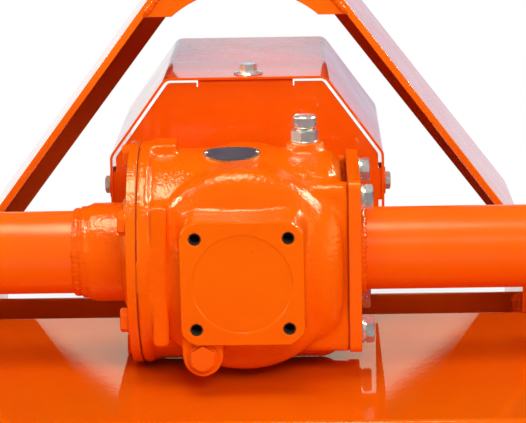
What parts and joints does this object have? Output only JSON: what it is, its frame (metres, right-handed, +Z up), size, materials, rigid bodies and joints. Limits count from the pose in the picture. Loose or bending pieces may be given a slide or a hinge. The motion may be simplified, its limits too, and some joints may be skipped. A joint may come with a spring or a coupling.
{
  "type": "rotavator gearbox and headstock section",
  "caption": "Centre section of a tractor-driven rotavator: bevel gearbox on cross tubes over a folded deck, with shaft guard and three-point headstock.",
  "frame": {"origin": "centre of the gearbox's rear pad, on its machined face", "axes": "+X to the machine's right along the cross tubes, +Y forward to the tractor along the input shaft, +Z up"},
  "size_m": [1.055, 0.7595, 0.64],
  "materials": {
    "paint": "glossy orange paint on sheet and tube",
    "cast_paint": "glossy orange paint over rough casting",
    "painted_bolts": "orange paint over hex heads",
    "zinc": "bright zinc plate",
    "steel": "machined steel"
  },
  "bodies": {
    "frame": {"gearbox_housing": "cast_paint", "left_cover": "cast_paint", "cover_bolts": "painted_bolts", "right_plate": "paint", "plate_bolts": "zinc", "bearing_cap": "cast_paint", "drain_plug": "painted_bolts", "breather": "zinc", "left_tube": "paint", "right_tube": "paint", "outer_bearing": "steel", "side_plate_left": "paint", "side_plate_right": "paint", "deck_sheet": "paint", "front_bar": "paint", "headstock_left": "paint", "headstock_right": "paint", "arch_plate": "paint", "headstock_lip_left": "paint", "headstock_lip_right": "paint", "end_disc": "paint", "tube_bracket_left": "paint", "tube_bracket_right": "paint", "link_pin_left": "zinc", "link_pin_right": "zinc", "guard_hood": "paint", "guard_end_panel": "paint"},
    "input_line": {"input_shaft": "steel"},
    "output_line": {"cross_shaft": "steel"}
  },
  "joints": [
    {"name": "cross_shaft_spin", "type": "hinge", "parent": "frame", "child": "output_line", "pos_m": [-0.3, 0.15, 0], "axis": [1, 0, 0], "continuous": true},
    {"name": "input_shaft_spin", "type": "hinge", "parent": "frame", "child": "input_line", "pos_m": [0, 0.3, 0], "axis": [0, 1, 0], "continuous": true}
  ],
  "couplings": [
    {"joint": "input_shaft_spin", "follows": "cross_shaft_spin", "ratio": 1.6923}
  ]
}
